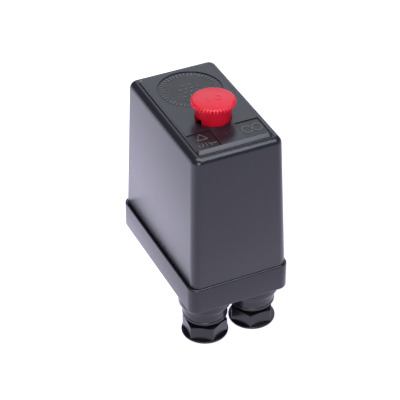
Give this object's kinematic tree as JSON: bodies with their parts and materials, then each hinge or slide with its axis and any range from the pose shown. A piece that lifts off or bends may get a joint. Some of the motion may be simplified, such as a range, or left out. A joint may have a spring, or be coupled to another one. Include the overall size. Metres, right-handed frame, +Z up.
{
  "type": "pressure switch",
  "caption": "Air compressor pressure switch with a tall tapered cover, a push-pull knob, a flanged pressure port below and cable glands at the front.",
  "frame": {"origin": "centre of the pressure port's mouth, on the axis of the port and diaphragm", "axes": "+Z up along the port axis towards the cover, -Y towards the cable glands (the front), +X to the right seen from the front"},
  "size_m": [0.0502, 0.08, 0.1165],
  "materials": {
    "black_cover": "satin moulded black plastic, faintly textured",
    "black_base": "satin moulded black plastic",
    "black_nut": "smooth black nylon",
    "red_knob": "bright red moulded plastic, slightly glossy",
    "white_nylon": "natural nylon, satin",
    "brown_moulding": "brown thermoset moulding, satin",
    "black_rubber": "matt black rubber",
    "cast_alloy": "die-cast, lightly grained",
    "plated_steel": "zinc plated",
    "spring_steel": "drawn spring wire",
    "contact_brass": "stamped, bright"
  },
  "bodies": {
    "housing": {"cover": "black_cover", "base": "black_base", "contact_block": "brown_moulding", "diaphragm": "black_rubber", "gland_seal_left": "black_rubber", "gland_seal_right": "black_rubber", "pressure_flange": "cast_alloy", "cover_screw_front": "plated_steel", "cover_screw_rear_left": "plated_steel", "cover_screw_rear_right": "plated_steel", "flange_screw_1": "plated_steel", "flange_screw_2": "plated_steel", "flange_screw_3": "plated_steel", "flange_screw_4": "plated_steel", "frame_bracket": "plated_steel", "lever_pin": "plated_steel", "range_stud": "plated_steel", "differential_stud": "plated_steel", "block_screw_left": "plated_steel", "block_screw_right": "plated_steel", "wire_clamp_1": "plated_steel", "wire_clamp_2": "plated_steel", "wire_clamp_3": "plated_steel", "wire_clamp_4": "plated_steel", "range_spring": "spring_steel", "differential_spring": "spring_steel", "carrier_spring": "spring_steel", "detent_clip": "spring_steel", "fixed_contact_1": "contact_brass", "fixed_contact_2": "contact_brass", "fixed_contact_3": "contact_brass", "fixed_contact_4": "contact_brass", "terminal_screw_1": "contact_brass", "terminal_screw_2": "contact_brass", "terminal_screw_3": "contact_brass", "terminal_screw_4": "contact_brass", "earth_screw": "contact_brass", "earth_washer": "contact_brass"},
    "knob": {"knob": "red_knob", "knob_stem": "white_nylon"},
    "main_lever": {"main_lever": "plated_steel"},
    "piston": {"piston": "white_nylon"},
    "thrust_washer": {"thrust_washer": "white_nylon"},
    "contact_carrier": {"contact_carrier": "white_nylon", "moving_contact_left": "contact_brass", "moving_contact_right": "contact_brass", "contact_spring_left": "spring_steel", "contact_spring_right": "spring_steel"},
    "range_seat": {"range_seat": "plated_steel"},
    "range_nut": {"range_nut": "plated_steel"},
    "differential_seat": {"differential_seat": "plated_steel"},
    "differential_nut": {"differential_nut": "plated_steel"},
    "gland_washer_left": {"gland_washer_left": "white_nylon"},
    "gland_nut_left": {"gland_nut_left": "black_nut"},
    "gland_washer_right": {"gland_washer_right": "white_nylon"},
    "gland_nut_right": {"gland_nut_right": "black_nut"}
  },
  "joints": [
    {"name": "knob_push", "type": "slide", "parent": "housing", "child": "knob", "axis": [0, 0, -1], "range_m": [0, 0.005]},
    {"name": "lever_tilt", "type": "hinge", "parent": "housing", "child": "main_lever", "pos_m": [0, -0.009, 0.032], "axis": [1, 0, 0], "range_deg": [0, 4.5]},
    {"name": "piston_lift", "type": "slide", "parent": "housing", "child": "piston", "axis": [0, 0, 1], "range_m": [0, 0.00072]},
    {"name": "washer_press", "type": "slide", "parent": "housing", "child": "thrust_washer", "axis": [0, 0, -1], "range_m": [0, 0.0011]},
    {"name": "contact_open", "type": "slide", "parent": "thrust_washer", "child": "contact_carrier", "axis": [0, 0, -1], "range_m": [0, 0.0022], "deforming": ["carrier_spring"]},
    {"name": "range_nut_turn", "type": "hinge", "parent": "range_seat", "child": "range_nut", "pos_m": [0, 0.01, 0.068], "axis": [0, 0, 1], "range_deg": [-1085, 1085]},
    {"name": "range_seat_travel", "type": "slide", "parent": "housing", "child": "range_seat", "axis": [0, 0, 1], "range_m": [-0.003, 0.003], "deforming": ["range_spring"]},
    {"name": "differential_nut_turn", "type": "hinge", "parent": "differential_seat", "child": "differential_nut", "pos_m": [0.0112, 0.002, 0.056], "axis": [0, 0, 1], "range_deg": [-1085, 1085]},
    {"name": "differential_seat_travel", "type": "slide", "parent": "housing", "child": "differential_seat", "axis": [0, 0, 1], "range_m": [-0.0015, 0.0015], "deforming": ["differential_spring"]},
    {"name": "gland_left_turn", "type": "hinge", "parent": "gland_washer_left", "child": "gland_nut_left", "pos_m": [-0.0123, -0.04, 0.0057], "axis": [0, 0, -1], "range_deg": [0, 725]},
    {"name": "gland_left_travel", "type": "slide", "parent": "housing", "child": "gland_washer_left", "axis": [0, 0, -1], "range_m": [0, 0.003]},
    {"name": "gland_right_turn", "type": "hinge", "parent": "gland_washer_right", "child": "gland_nut_right", "pos_m": [0.0123, -0.04, 0.0057], "axis": [0, 0, -1], "range_deg": [0, 725]},
    {"name": "gland_right_travel", "type": "slide", "parent": "housing", "child": "gland_washer_right", "axis": [0, 0, -1], "range_m": [0, 0.003]}
  ],
  "couplings": [
    {"joint": "piston_lift", "follows": "lever_tilt", "m_per_rad": 0.009},
    {"joint": "washer_press", "follows": "lever_tilt", "m_per_rad": 0.0137},
    {"joint": "contact_open", "follows": "knob_push", "ratio": 0.44},
    {"joint": "range_nut_turn", "follows": "range_seat_travel", "rad_per_m": 6283.2},
    {"joint": "differential_nut_turn", "follows": "differential_seat_travel", "rad_per_m": 12566},
    {"joint": "gland_left_turn", "follows": "gland_left_travel", "rad_per_m": 4188.8},
    {"joint": "gland_right_turn", "follows": "gland_right_travel", "rad_per_m": 4188.8}
  ]
}
